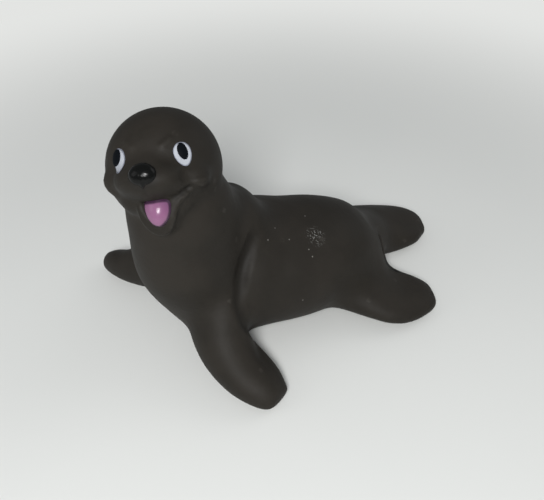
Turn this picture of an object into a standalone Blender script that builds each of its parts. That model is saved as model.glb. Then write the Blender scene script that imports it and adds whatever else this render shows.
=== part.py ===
"""A toy seal moulded in one piece of soft vinyl, with its head up and turned to its left.

It rests on its belly and flippers, and lies along Y with its tail at +Y.
Its left side is +X and the floor is Z = 0.
Sizes are in metres. The stations and balls that shape a limb or the head are shares of its named sizes.
"""

import math
from dataclasses import dataclass

import bmesh
import bpy
from mathutils import Matrix, Vector
from mathutils.bvhtree import BVHTree
from mathutils.kdtree import KDTree


@dataclass
class Station:
    """One cross-section of a limb or the torso: an ellipse square to the path, in shares of its sizes."""

    x: float
    y: float
    z: float
    half_width: float
    half_height: float

    def values(self, sizes):
        """The five numbers in metres, given the five sizes they are shares of."""
        shares = (self.x, self.y, self.z, self.half_width, self.half_height)
        return [share * size for share, size in zip(shares, sizes)]


@dataclass
class Ball:
    """A ball stretched to three radii, in shares of three sizes; the taper narrows it towards its bottom."""

    centre: tuple
    radii: tuple
    taper: float = 0.0


# Main sizes. Width is across the seal, length along it, and a front flipper's length is across it
TORSO_WIDTH = 0.0390
TORSO_LENGTH = 0.0645
TORSO_HEIGHT = 0.0356
NECK_WIDTH = 0.0296
NECK_DEPTH = 0.0292
NECK_HEIGHT = 0.0520
FLIPPER_LENGTH = 0.0369
FLIPPER_BREADTH = 0.0176
FLIPPER_HEIGHT = 0.0260
HIND_BREADTH = 0.0260
HIND_LENGTH = 0.0362
HIND_HEIGHT = 0.0200
HEAD_RADIUS = 0.0136

# The sizes that a station's x, y, z, half width and half height are shares of
TORSO_SIZES = (TORSO_WIDTH, TORSO_LENGTH, TORSO_HEIGHT, TORSO_WIDTH, TORSO_HEIGHT)
NECK_SIZES = (NECK_WIDTH, NECK_DEPTH, NECK_HEIGHT, NECK_WIDTH, NECK_DEPTH)
FLIPPER_SIZES = (FLIPPER_LENGTH, FLIPPER_BREADTH, FLIPPER_HEIGHT, FLIPPER_BREADTH, FLIPPER_HEIGHT)
HIND_SIZES = (HIND_BREADTH, HIND_LENGTH, HIND_HEIGHT, HIND_BREADTH, HIND_HEIGHT)
HEAD_SIZES = (HEAD_RADIUS, HEAD_RADIUS, HEAD_RADIUS)

# The point of the belly's flat that becomes the origin
BELLY_X = -0.126 * TORSO_WIDTH
BELLY_Y = 0.0186 * TORSO_LENGTH

# Where the chest, the flippers, the hind end and the head sit, and how far each turns about the vertical
CHEST_X = -0.026 * TORSO_WIDTH
CHEST_Y = -0.519 * TORSO_LENGTH
CHEST_TURN = math.radians(24)
RIGHT_ARM_X = -0.267 * TORSO_WIDTH
RIGHT_ARM_Y = -0.426 * TORSO_LENGTH
RIGHT_ARM_TURN = math.radians(40.5)
RIGHT_ARM_BREADTH = 0.77
HIND_X = -0.205 * TORSO_WIDTH
HIND_Y = 0.279 * TORSO_LENGTH
HIND_TURN = math.radians(-13)
HEAD_X = 0.049 * TORSO_WIDTH
HEAD_Y = -0.592 * TORSO_LENGTH
HEAD_Z = 1.104 * NECK_HEIGHT
HEAD_TURN = math.radians(61.5)
HEAD_PITCH = math.radians(30)
HEAD_ROLL = math.radians(9)

# Body, from the tail to the chest
TORSO = (
    Station(-0.205, 0.38, 0.154, 0.103, 0.098),
    Station(-0.2, 0.31, 0.239, 0.321, 0.239),
    Station(-0.187, 0.194, 0.351, 0.405, 0.379),
    Station(-0.146, 0.062, 0.416, 0.459, 0.441),
    Station(-0.118, -0.093, 0.455, 0.503, 0.458),
    Station(-0.115, -0.248, 0.492, 0.5, 0.5),
    Station(-0.051, -0.403, 0.534, 0.449, 0.506),
    Station(0.026, -0.543, 0.59, 0.308, 0.365),
    Station(0.051, -0.62, 0.646, 0.128, 0.169),
)
NAPE = Ball((-0.092, -0.357, 0.913), (0.295, 0.171, 0.323))
WITHERS = Ball((-0.108, -0.271, 0.632), (0.333, 0.194, 0.393))
SCRUFF = Ball((-0.013, -0.333, 1.011), (0.179, 0.132, 0.242))
RUMP = Ball((-0.295, 0.357, 0.309), (0.205, 0.132, 0.197))

# In the chest's frame: X to the seal's left, -Y forward
NECK = (
    Station(0.034, 0.051, 0.096, 0.422, 0.205),
    Station(0.027, -0.01, 0.308, 0.5, 0.342),
    Station(0.034, -0.065, 0.519, 0.497, 0.449),
    Station(0.064, -0.051, 0.731, 0.449, 0.5),
    Station(0.078, -0.123, 0.923, 0.419, 0.435),
    Station(0.034, -0.137, 1.096, 0.338, 0.342),
)
# A front flipper is a thick leading arm and a thin trailing blade
ARM = (
    Station(0, 0.114, 0.923, 0.54, 0.5),
    Station(0.233, 0.017, 0.673, 0.5, 0.423),
    Station(0.45, -0.216, 0.365, 0.432, 0.327),
    Station(0.675, -0.312, 0.231, 0.352, 0.231),
    Station(0.864, -0.244, 0.162, 0.301, 0.173),
    Station(0.973, -0.165, 0.115, 0.182, 0.115),
)
# The right arm begins deeper in the neck
RIGHT_ARM_ROOT = Station(0.244, -0.341, 0.885, 0.398, 0.346)
BLADE = (
    Station(0.165, 0, 0.308, 0.386, 0.308),
    Station(0.35, -0.068, 0.212, 0.398, 0.212),
    Station(0.528, -0.114, 0.165, 0.438, 0.185),
    Station(0.715, -0.142, 0.138, 0.409, 0.162),
    Station(0.875, -0.182, 0.115, 0.358, 0.135),
    Station(1, -0.136, 0.096, 0.205, 0.077),
)

# In the hind end's frame: X to the seal's left, +Y backward
LEFT_HIND = (
    Station(0.162, -0.414, 0.5, 0.462, 0.5),
    Station(0.323, -0.174, 0.43, 0.5, 0.44),
    Station(0.485, 0.033, 0.31, 0.5, 0.33),
    Station(0.592, 0.257, 0.19, 0.458, 0.215),
    Station(0.6, 0.47, 0.16, 0.315, 0.165),
    Station(0.585, 0.586, 0.14, 0.177, 0.105),
)
RIGHT_HIND = (
    Station(-0.096, -0.359, 0.55, 0.462, 0.55),
    Station(-0.231, -0.11, 0.46, 0.462, 0.46),
    Station(-0.45, 0.133, 0.33, 0.404, 0.37),
    Station(-0.6, 0.387, 0.225, 0.396, 0.26),
    Station(-0.685, 0.608, 0.17, 0.338, 0.175),
    Station(-0.712, 0.751, 0.14, 0.185, 0.1),
)

# In the head's frame: X to the seal's left, -Y out of the face, Z up
DOME = Ball((0, 0, 0), (1, 0.978, 0.978))
BRIDGE = Ball((0, -0.618, 0.044), (0.368, 0.5, 0.279))
MUZZLE = Ball((0, -0.706, -0.162), (0.64, 0.596, 0.346))
CHEEK = Ball((0.625, -0.507, -0.162), (0.287, 0.294, 0.272))
JOWL = Ball((0.346, -0.456, -0.456), (0.309, 0.419, 0.309))
JAW = Ball((0.059, -0.463, -0.654), (0.382, 0.559, 0.449), 0.1)

# Mouth: the cavity under the upper lip, the lower lip round it and the tongue in it
MOUTH = Ball((0.059, -1.103, -0.529), (0.301, 0.324, 0.434), 0.18)
UPPER_LIP_HEIGHT = -0.463 * HEAD_RADIUS
TONGUE = Ball((0.059, -0.779, -0.515), (0.257, 0.265, 0.419), 0.25)
LIP_PATH = ((-0.574, -0.25), (-0.434, -0.404), (-0.309, -0.529), (-0.25, -0.676), (-0.199, -0.831),
            (-0.096, -0.978), (0.059, -1.044), (0.213, -0.978), (0.316, -0.816), (0.368, -0.654),
            (0.419, -0.507), (0.529, -0.36), (0.64, -0.213))
LIP_RADIUS = 0.00085

# Eyes and nose, painted on low raised shapes
EYE_X = 0.544 * HEAD_RADIUS
EYE_Z = 0.2 * HEAD_RADIUS
EYE_HALF_WIDTH = 0.0018
EYE_HALF_HEIGHT = 0.00265
EYE_TAPER = 0.32
EYE_LEANS = (math.radians(-5), math.radians(16))
PUPIL_HALF_WIDTH = 0.00098
PUPIL_HALF_HEIGHT = 0.0018
PUPIL_RISE = 0.00085
PUPIL_LEANS = (math.radians(10), math.radians(17))
PUPIL_SHIFTS = (-0.0005, 0.0)
NOSE_Z = -0.044 * HEAD_RADIUS
NOSE_HALF_WIDTH = 0.0030
NOSE_HALF_HEIGHT = 0.0020
NOSE_POINT = 0.0010
NOSE_POINT_HALF_WIDTH = 0.0006
NOSE_HEIGHT = 0.0006
PAINT_HEIGHT = 0.00012
PUPIL_HEIGHT = 0.00036
SEAT = 0.0006
FACE_RAY_START = 3 * HEAD_RADIUS

# The crease between shoulder and torso, given near the skin and moved onto it
SHOULDER_CREASE = ((0.11, -0.267, 1.022), (0.162, -0.309, 0.952), (0.221, -0.338, 0.871),
                   (0.269, -0.364, 0.789), (0.318, -0.383, 0.691), (0.379, -0.402, 0.615),
                   (0.428, -0.397, 0.531), (0.441, -0.381, 0.421), (0.346, -0.35, 0.225),
                   (0.308, -0.326, 0.056))
SHOULDER_CREASE_WIDTH = 0.0028
SHOULDER_CREASE_DEPTH = 0.0010
# The slit where the right hind flipper leaves the torso
HIND_CREASE = ((-0.133, 0.36, 0.494), (-0.095, 0.369, 0.458), (-0.049, 0.371, 0.421),
               (-0.031, 0.375, 0.357), (-0.038, 0.384, 0.253))
HIND_CREASE_WIDTH = 0.0018
HIND_CREASE_DEPTH = 0.0010

# Where two masses flow into each other: the place and the reach of the fillet
FILLETS = ((0.205, 0.186, 0.281, 0.365), (-0.41, 0.31, 0.337, 0.337), (-0.179, 0.372, 0.463, 0.393),
           (-0.256, 0.419, 0.393, 0.393), (0.077, -0.31, 1.124, 0.309), (0.026, -0.217, 0.969, 0.365))

# Mesh
SOFT_VOXEL = 0.0007
FINE_VOXEL = 0.00045
HEAD_SOFTEN_STEPS = 12
BODY_SOFTEN_STEPS = 40
HEAD_REACH = 0.956 * HEAD_RADIUS
FILLET_STEPS = 240
REFINE_STEPS = 4
SKIN_TRIANGLES = 7000
RING_POINTS = 48
RINGS_BETWEEN = 8
OUTLINE_POINTS = 32
OUTLINE_RINGS = 4
FLOOR_SIZE = 4 * TORSO_LENGTH
FLOOR_DEPTH = 0.5 * TORSO_HEIGHT

SKIN, EYE_WHITE, PUPIL, NOSE, TONGUE_PINK = range(5)
COLOURS = (
    ("vinyl", (0.052, 0.047, 0.040, 1), 0.5),
    ("eye_white", (0.80, 0.81, 0.80, 1), 0.35),
    ("pupil", (0.006, 0.007, 0.010, 1), 0.25),
    ("nose_black", (0.007, 0.007, 0.006, 1), 0.18),
    ("tongue_pink", (0.52, 0.19, 0.40, 1), 0.25),
)


def materials():
    """One material for the vinyl and one for each paint."""
    made = []
    for name, colour, roughness in COLOURS:
        material = bpy.data.materials.new(name)
        material.use_nodes = True
        shader = material.node_tree.nodes["Principled BSDF"]
        shader.inputs["Base Color"].default_value = colour
        shader.inputs["Roughness"].default_value = roughness
        shader.inputs["Metallic"].default_value = 0.0
        material.diffuse_color = colour
        made.append(material)
    return made


def new_object(name, mesh, paints, paint=SKIN):
    """An object from a bmesh, with every material in a slot and one of them on all faces."""
    data = bpy.data.meshes.new(name)
    for face in mesh.faces:
        face.material_index = paint
    mesh.to_mesh(data)
    mesh.free()
    for material in paints:
        data.materials.append(material)
    made = bpy.data.objects.new(name, data)
    bpy.context.scene.collection.objects.link(made)
    return made


def blended(a, b, c, d, t):
    """The value between b and c on a smooth curve through all four."""
    slope = c - a
    bend = 2 * a - 5 * b + 4 * c - d
    twist = 3 * b - a - 3 * c + d
    return b + 0.5 * (slope * t + bend * t ** 2 + twist * t ** 3)


def smooth_rows(rows, between):
    """The rows of numbers with more of them read between, on a smooth curve."""
    first = [2 * p - q for p, q in zip(rows[0], rows[1])]
    last = [2 * p - q for p, q in zip(rows[-1], rows[-2])]
    keys = [first, *rows, last]
    made = []
    for k in range(1, len(keys) - 2):
        for step in range(between):
            made.append([blended(*four, step / between) for four in zip(*keys[k - 1:k + 3])])
    made.append(list(rows[-1]))
    return made


def bridge(mesh, rings):
    """Quads between each ring of points and the next."""
    for first, second in zip(rings, rings[1:]):
        for k in range(len(first)):
            n = (k + 1) % len(first)
            mesh.faces.new((first[k], first[n], second[n], second[k]))


def loft(stations, sizes, frame, paints, side=Vector((1, 0, 0))):
    """A closed solid through elliptical stations given in a frame, in shares of the sizes."""
    rows = smooth_rows([s.values(sizes) for s in stations], RINGS_BETWEEN)
    centres = [Vector(row[:3]) for row in rows]
    mesh = bmesh.new()
    rings = []
    for i, row in enumerate(rows):
        half_width, half_height = row[3:]
        ahead = (centres[min(i + 1, len(rows) - 1)] - centres[max(i - 1, 0)]).normalized()
        across = (side - ahead * side.dot(ahead)).normalized()
        up = ahead.cross(across)
        ring = []
        for k in range(RING_POINTS):
            angle = math.tau * k / RING_POINTS
            offset = across * math.cos(angle) * half_width + up * math.sin(angle) * half_height
            ring.append(mesh.verts.new(centres[i] + offset))
        rings.append(ring)
    bridge(mesh, rings)
    mesh.faces.new(rings[0][::-1])
    mesh.faces.new(rings[-1])
    bmesh.ops.transform(mesh, matrix=frame, verts=mesh.verts)
    bmesh.ops.recalc_face_normals(mesh, faces=mesh.faces)
    return new_object("loft", mesh, paints)


def ball(shape, sizes, frame, paints, paint=SKIN, side=1):
    """A ball in a frame, in shares of the sizes; side -1 mirrors it across the frame's X."""
    x, y, z = (share * size for share, size in zip(shape.centre, sizes))
    radii = [share * size for share, size in zip(shape.radii, sizes)]
    mesh = bmesh.new()
    bmesh.ops.create_icosphere(mesh, subdivisions=4, radius=1.0)
    for vert in mesh.verts:
        vert.co.x *= 1 + shape.taper * vert.co.z
    place = frame @ Matrix.Translation((side * x, y, z)) @ Matrix.Diagonal((*radii, 1))
    bmesh.ops.transform(mesh, matrix=place, verts=mesh.verts)
    return new_object("ball", mesh, paints, paint)


def mirrored(stations):
    """The stations of the other side."""
    return [Station(-s.x, s.y, s.z, s.half_width, s.half_height) for s in stations]


def joined(pieces, paints):
    """All pieces as one object, still overlapping; a voxel remesh makes them one skin."""
    mesh = bmesh.new()
    for piece in pieces:
        mesh.from_mesh(piece.data)
        bpy.data.objects.remove(piece)
    return new_object("seal", mesh, paints)


def baked(item):
    """Replaces an object's mesh by what its modifiers make of it."""
    bpy.context.view_layer.update()
    depsgraph = bpy.context.evaluated_depsgraph_get()
    data = bpy.data.meshes.new_from_object(item.evaluated_get(depsgraph))
    item.modifiers.clear()
    item.data = data
    return item


def remeshed(item, voxel, steps):
    """One even skin round all pieces of an object, smoothed."""
    remesh = item.modifiers.new("skin", "REMESH")
    remesh.mode = "VOXEL"
    remesh.voxel_size = voxel
    smooth = item.modifiers.new("soften", "SMOOTH")
    smooth.factor = 0.5
    smooth.iterations = steps
    return baked(item)


def soften_body(item, steps):
    """More smoothing everywhere but on the head, coming in gradually down the neck."""
    centre = Vector((HEAD_X, HEAD_Y, HEAD_Z))
    group = item.vertex_groups.new(name="body")
    for vert in item.data.vertices:
        share = ((vert.co - centre).length - HEAD_REACH) / HEAD_REACH
        group.add([vert.index], max(0.0, min(1.0, share)), "REPLACE")
    smooth = item.modifiers.new("soften", "SMOOTH")
    smooth.factor = 0.5
    smooth.iterations = steps
    smooth.vertex_group = group.name
    return baked(item)


def soften_near(item, place, reach, steps):
    """More smoothing near one place, where two masses flow into each other."""
    item.vertex_groups.clear()
    group = item.vertex_groups.new(name="fillet")
    for vert in item.data.vertices:
        share = 1.5 * (1 - (vert.co - place).length / reach)
        group.add([vert.index], max(0.0, min(1.0, share)), "REPLACE")
    smooth = item.modifiers.new("soften", "SMOOTH")
    smooth.factor = 0.5
    smooth.iterations = steps
    smooth.vertex_group = group.name
    return baked(item)


def combined(item, piece, operation):
    """The object with another one added to it or cut from it."""
    cut = item.modifiers.new("combine", "BOOLEAN")
    cut.operation = operation
    cut.solver = "EXACT"
    cut.object = piece
    piece.hide_render = True
    piece.display_type = "WIRE"
    baked(item)
    bpy.data.objects.remove(piece)
    return item


def surface_of(item):
    """A search tree over the object's faces."""
    mesh = bmesh.new()
    mesh.from_mesh(item.data)
    tree = BVHTree.FromBMesh(mesh)
    mesh.free()
    return tree


def on_face(tree, head, x, z):
    """The point of the skin straight behind (x, z) of the head's frame, and the skin's normal there."""
    start = head @ Vector((x, -FACE_RAY_START, z))
    inward = head.to_3x3() @ Vector((0, 1, 0))
    point, normal, _, _ = tree.ray_cast(start, inward)
    return point, normal


def on_torso(place):
    """The point of the room at these shares of the torso's width, length and height."""
    return Vector([share * size for share, size in zip(place, TORSO_SIZES)])


def press(item, path, width, depth):
    """Presses a crease along a path into the skin; a negative depth raises a ridge."""
    tree = surface_of(item)
    path = [tree.find_nearest(Vector(point))[0] for point in smooth_rows(path, 12)]
    near = KDTree(len(path))
    for i, point in enumerate(path):
        near.insert(point, i)
    near.balance()
    mesh = bmesh.new()
    mesh.from_mesh(item.data)
    mesh.normal_update()
    moves = []
    for vert in mesh.verts:
        _, index, distance = near.find(vert.co)
        if distance < width:
            ends = min(1.0, (index + 1) / 10, (len(path) - index) / 10)
            share = (1 + math.cos(math.pi * distance / width)) / 2
            moves.append((vert, vert.normal * depth * share * ends))
    for vert, move in moves:
        vert.co -= move
    mesh.to_mesh(item.data)
    mesh.free()


def lower_lip(tree, head, paints):
    """A rounded rim from one cheek round the chin to the other, half sunk in the skin."""
    mesh = bmesh.new()
    rings = []
    path = [on_face(tree, head, x * HEAD_RADIUS, z * HEAD_RADIUS)[0] for x, z in smooth_rows(LIP_PATH, 6)]
    out = head.to_3x3() @ Vector((0, -1, 0))
    for i, centre in enumerate(path):
        ahead = (path[min(i + 1, len(path) - 1)] - path[max(i - 1, 0)]).normalized()
        across = ahead.cross(out).normalized()
        up = across.cross(ahead)
        swell = LIP_RADIUS * (0.35 + 0.65 * math.sin(math.pi * (i + 1) / (len(path) + 1)) ** 0.4)
        ring = []
        for k in range(16):
            angle = math.tau * k / 16
            ring.append(mesh.verts.new(centre + (across * math.cos(angle) + up * math.sin(angle)) * swell))
        rings.append(ring)
    bridge(mesh, rings)
    mesh.faces.new(rings[0][::-1])
    mesh.faces.new(rings[-1])
    bmesh.ops.recalc_face_normals(mesh, faces=mesh.faces)
    return new_object("lip", mesh, paints)


def mouth_cutter(head, paints):
    """The cavity's shape: a ball cut off level under the upper lip."""
    cutter = ball(MOUTH, HEAD_SIZES, head, paints)
    mesh = bmesh.new()
    mesh.from_mesh(cutter.data)
    level = head @ Vector((0, 0, UPPER_LIP_HEIGHT))
    up = head.to_3x3() @ Vector((0, 0, 1))
    everything = mesh.verts[:] + mesh.edges[:] + mesh.faces[:]
    bmesh.ops.bisect_plane(mesh, geom=everything, plane_co=level, plane_no=up, clear_outer=True)
    bmesh.ops.holes_fill(mesh, edges=[e for e in mesh.edges if e.is_boundary])
    mesh.to_mesh(cutter.data)
    mesh.free()
    return cutter


def raised_shape(tree, head, outline, height, dome, paints, paint):
    """A low solid on the face: its outline lies on the skin, its middle stands a little higher."""
    centre_x = sum(x for x, _ in outline) / len(outline)
    centre_z = sum(z for _, z in outline) / len(outline)
    back = head.to_3x3() @ Vector((0, 1, 0))
    mesh = bmesh.new()
    tops = []
    for r in range(OUTLINE_RINGS, 0, -1):
        share = r / OUTLINE_RINGS
        ring = []
        for x, z in outline:
            part_x = centre_x + (x - centre_x) * share
            part_z = centre_z + (z - centre_z) * share
            point, normal = on_face(tree, head, part_x, part_z)
            ring.append(mesh.verts.new(point + normal * (height + dome * (1 - share ** 2))))
        tops.append(ring)
    seat = [mesh.verts.new(vert.co + back * (SEAT + height)) for vert in tops[0]]
    bridge(mesh, [seat, *tops])
    point, normal = on_face(tree, head, centre_x, centre_z)
    middle = mesh.verts.new(point + normal * (height + dome))
    below = mesh.verts.new(sum((v.co for v in seat), Vector()) / len(seat) + back * SEAT)
    for k in range(len(outline)):
        n = (k + 1) % len(outline)
        mesh.faces.new((tops[-1][k], tops[-1][n], middle))
        mesh.faces.new((seat[n], seat[k], below))
    bmesh.ops.recalc_face_normals(mesh, faces=mesh.faces)
    return new_object("paint", mesh, paints, paint)


def turned(x, z, angle):
    """A point turned about the origin."""
    return x * math.cos(angle) - z * math.sin(angle), x * math.sin(angle) + z * math.cos(angle)


def eye_outline(side, lean):
    """A drop with its rounded point down and leaning outward."""
    points = []
    for k in range(OUTLINE_POINTS):
        angle = math.tau * k / OUTLINE_POINTS
        low = (1 - math.cos(angle)) / 2
        across = EYE_HALF_WIDTH * math.sin(angle) * (1 - EYE_TAPER * low ** 1.5)
        x, z = turned(across, EYE_HALF_HEIGHT * math.cos(angle), lean)
        points.append((side * (EYE_X + x), EYE_Z + z))
    return points


def pupil_outline(side, lean, shift):
    """An upright oval leaning to the middle of the face."""
    points = []
    for k in range(OUTLINE_POINTS):
        angle = math.tau * k / OUTLINE_POINTS
        x, z = turned(PUPIL_HALF_WIDTH * math.sin(angle), PUPIL_HALF_HEIGHT * math.cos(angle), lean)
        points.append((side * (EYE_X + x) + shift, EYE_Z + PUPIL_RISE + z))
    return points


def nose_outline():
    """An oval with a small point at the bottom."""
    points = []
    for k in range(OUTLINE_POINTS):
        angle = math.tau * k / OUTLINE_POINTS
        x = NOSE_HALF_WIDTH * math.sin(angle)
        z = NOSE_HALF_HEIGHT * math.cos(angle)
        if z < 0:
            z -= NOSE_POINT * max(0.0, 1 - abs(x) / NOSE_POINT_HALF_WIDTH)
        points.append((x, NOSE_Z + z))
    return points


def body(paints):
    """Torso, neck and flippers as overlapping pieces."""
    room = Matrix.Identity(4)
    chest = Matrix.Translation((CHEST_X, CHEST_Y, 0)) @ Matrix.Rotation(CHEST_TURN, 4, "Z")
    right = Matrix.Translation((RIGHT_ARM_X, RIGHT_ARM_Y, 0)) @ Matrix.Rotation(RIGHT_ARM_TURN, 4, "Z")
    right = right @ Matrix.Diagonal((1, RIGHT_ARM_BREADTH, 1, 1))
    hind = Matrix.Translation((HIND_X, HIND_Y, 0)) @ Matrix.Rotation(HIND_TURN, 4, "Z")
    pieces = [loft(TORSO, TORSO_SIZES, room, paints), loft(NECK, NECK_SIZES, chest, paints)]
    pieces += [ball(shape, TORSO_SIZES, room, paints) for shape in (NAPE, WITHERS, SCRUFF, RUMP)]
    along = Vector((0, 1, 0))
    pieces.append(loft(ARM, FLIPPER_SIZES, chest, paints, along))
    pieces.append(loft(BLADE, FLIPPER_SIZES, chest, paints, along))
    pieces.append(loft([RIGHT_ARM_ROOT, *mirrored(ARM)], FLIPPER_SIZES, right, paints, along))
    pieces.append(loft(mirrored(BLADE), FLIPPER_SIZES, right, paints, along))
    for stations in (LEFT_HIND, RIGHT_HIND):
        pieces.append(loft(stations, HIND_SIZES, hind, paints))
    return pieces


def head_masses(head, paints):
    """Skull, muzzle, cheeks and jaw as overlapping pieces."""
    pieces = [ball(shape, HEAD_SIZES, head, paints) for shape in (DOME, BRIDGE, MUZZLE, JAW)]
    for side in (-1, 1):
        pieces.append(ball(CHEEK, HEAD_SIZES, head, paints, side=side))
        pieces.append(ball(JOWL, HEAD_SIZES, head, paints, side=side))
    return pieces


def decimated(item, triangles):
    """The object with about the given number of triangles."""
    mesh = bmesh.new()
    mesh.from_mesh(item.data)
    bmesh.ops.triangulate(mesh, faces=mesh.faces)
    count = len(mesh.faces)
    mesh.to_mesh(item.data)
    mesh.free()
    decimate = item.modifiers.new("fewer", "DECIMATE")
    decimate.ratio = min(1.0, triangles / count)
    return baked(item)


def floor_block(paints):
    """Everything below the floor, cut away to leave a flat belly and flat feet."""
    mesh = bmesh.new()
    size = Matrix.Diagonal((FLOOR_SIZE, FLOOR_SIZE, FLOOR_DEPTH, 1))
    place = Matrix.Translation((0, 0, -FLOOR_DEPTH / 2)) @ size
    bmesh.ops.create_cube(mesh, size=1.0, matrix=place)
    return new_object("floor", mesh, paints)


def shade_smooth(item):
    """Smooth faces, with an edge kept where the flat base begins."""
    mesh = bmesh.new()
    mesh.from_mesh(item.data)
    for face in mesh.faces:
        face.smooth = True
    for edge in mesh.edges:
        edge.smooth = edge.calc_face_angle(0) < math.radians(50)
    mesh.to_mesh(item.data)
    mesh.free()


def main():
    for old in list(bpy.data.objects):
        bpy.data.objects.remove(old)
    paints = materials()
    head = (Matrix.Translation((HEAD_X, HEAD_Y, HEAD_Z)) @ Matrix.Rotation(HEAD_TURN, 4, "Z")
            @ Matrix.Rotation(-HEAD_PITCH, 4, "X") @ Matrix.Rotation(-HEAD_ROLL, 4, "Y"))

    seal = joined(body(paints) + head_masses(head, paints), paints)
    remeshed(seal, SOFT_VOXEL, HEAD_SOFTEN_STEPS)
    soften_body(seal, BODY_SOFTEN_STEPS)
    for *place, reach in FILLETS:
        soften_near(seal, on_torso(place), reach * TORSO_HEIGHT, FILLET_STEPS)
    combined(seal, mouth_cutter(head, paints), "DIFFERENCE")
    lip = lower_lip(surface_of(seal), head, paints)
    seal = joined([seal, lip], paints)
    remeshed(seal, FINE_VOXEL, REFINE_STEPS)
    press(seal, [on_torso(p) for p in SHOULDER_CREASE], SHOULDER_CREASE_WIDTH, SHOULDER_CREASE_DEPTH)
    press(seal, [on_torso(p) for p in HIND_CREASE], HIND_CREASE_WIDTH, HIND_CREASE_DEPTH)

    decimated(seal, SKIN_TRIANGLES)
    tree = surface_of(seal)
    combined(seal, ball(TONGUE, HEAD_SIZES, head, paints, TONGUE_PINK), "UNION")
    nose = raised_shape(tree, head, nose_outline(), PAINT_HEIGHT, NOSE_HEIGHT, paints, NOSE)
    combined(seal, nose, "UNION")
    for i, side in enumerate((-1, 1)):
        outline = eye_outline(side, EYE_LEANS[i])
        white = raised_shape(tree, head, outline, PAINT_HEIGHT, PAINT_HEIGHT, paints, EYE_WHITE)
        combined(seal, white, "UNION")
        outline = pupil_outline(side, PUPIL_LEANS[i], PUPIL_SHIFTS[i])
        pupil = raised_shape(tree, head, outline, PUPIL_HEIGHT, PAINT_HEIGHT, paints, PUPIL)
        combined(seal, pupil, "UNION")
    combined(seal, floor_block(paints), "DIFFERENCE")
    seal.data.transform(Matrix.Translation((-BELLY_X, -BELLY_Y, 0)))
    shade_smooth(seal)


main()
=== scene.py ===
"""A toy seal moulded in one piece of soft vinyl, with painted eyes and nose and a glossy tongue.

The seal lies along Y with its tail at +Y, its left side at +X and the floor at Z = 0. Frames and single
sizes are in metres. The stations and balls that shape the body are in millimetres.
"""

import logging
import math
from collections.abc import Callable
from dataclasses import astuple, dataclass, field, replace
from enum import Enum

import bmesh
import bpy
from mathutils import Matrix, Vector
from mathutils.bvhtree import BVHTree
from mathutils.kdtree import KDTree


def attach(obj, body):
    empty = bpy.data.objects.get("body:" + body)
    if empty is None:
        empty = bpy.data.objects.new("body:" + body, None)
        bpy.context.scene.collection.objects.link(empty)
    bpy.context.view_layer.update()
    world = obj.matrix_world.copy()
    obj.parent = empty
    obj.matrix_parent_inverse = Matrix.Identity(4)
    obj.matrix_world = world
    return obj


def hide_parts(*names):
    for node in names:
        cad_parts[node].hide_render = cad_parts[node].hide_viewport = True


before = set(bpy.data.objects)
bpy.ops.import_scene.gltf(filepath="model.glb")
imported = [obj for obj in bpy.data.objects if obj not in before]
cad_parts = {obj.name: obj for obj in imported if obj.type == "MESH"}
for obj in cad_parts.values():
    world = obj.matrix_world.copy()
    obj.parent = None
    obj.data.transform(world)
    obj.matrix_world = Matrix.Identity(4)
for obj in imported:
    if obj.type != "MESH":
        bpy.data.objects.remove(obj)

LOG = logging.getLogger("seal")
MM = 0.001
POINTS_BETWEEN = 12
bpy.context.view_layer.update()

# The seal's drawing frame has its origin beside the belly; the row frame has it on the belly's flat
ROW = Matrix.Translation((0.0049, -0.0012, 0.0))

Item = bpy.types.Object
Mesh = bmesh.types.BMesh
Socket = bpy.types.NodeSocket
Tree = bpy.types.NodeTree
Place = tuple[float, float, float]
Colour = tuple[float, float, float, float]


class Side(Enum):
    """One side of the seal, with the sign of X on it."""

    RIGHT = -1
    LEFT = 1


class Finish(Enum):
    """The slots of the record."""

    VINYL = "vinyl"


@dataclass(frozen=True)
class Station:
    """One cross-section of a limb or the torso, in millimetres: an ellipse square to the path."""

    x: float
    y: float
    z: float
    half_width: float
    half_height: float

    def values(self) -> tuple[float, ...]:
        """The five numbers in a row."""
        return astuple(self)

    def mirrored(self) -> "Station":
        """The same station on the other side."""
        return replace(self, x=-self.x)


@dataclass(frozen=True)
class Ball:
    """A ball stretched to three radii, in millimetres.

    The taper makes it narrower towards its bottom, and the lean brings its bottom forward.
    """

    centre: Place
    radii: Place
    taper: float = 0.0
    lean: float = 0.0


@dataclass(frozen=True)
class Fillet:
    """A place where two masses flow into each other, and its reach, in millimetres."""

    place: Place
    reach: float


@dataclass(frozen=True)
class Placement:
    """Where a frame sits, in metres, and how it is turned, in degrees."""

    x: float
    y: float
    z: float = 0.0
    turn: float = 0.0
    pitch: float = 0.0
    roll: float = 0.0

    def matrix(self) -> Matrix:
        """Work out the frame's place.

        Returns:
            The frame's matrix in the row frame.
        """
        turned = Matrix.Rotation(math.radians(self.turn), 4, "Z")
        pitched = Matrix.Rotation(math.radians(-self.pitch), 4, "X")
        rolled = Matrix.Rotation(math.radians(-self.roll), 4, "Y")
        return ROW @ Matrix.Translation((self.x, self.y, self.z)) @ turned @ pitched @ rolled


@dataclass(frozen=True)
class Stroke:
    """A line on the skin along which a soft round tool sinks it, or raises it, and along which shade may be
    painted.

    The path is in millimetres. On the face a point has X and Z of the head's frame, on the body X, Y and Z.
    Width and depth are in metres, and a negative depth raises the skin. Fade is how many of the line's
    points each end takes to fade out.
    """

    path: tuple[tuple[float, ...], ...]
    width: float
    depth: float
    fade: int = 10
    # how dark the shade painted along the line is, from 0 to 1
    painted_shade: float = 0.0


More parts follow.
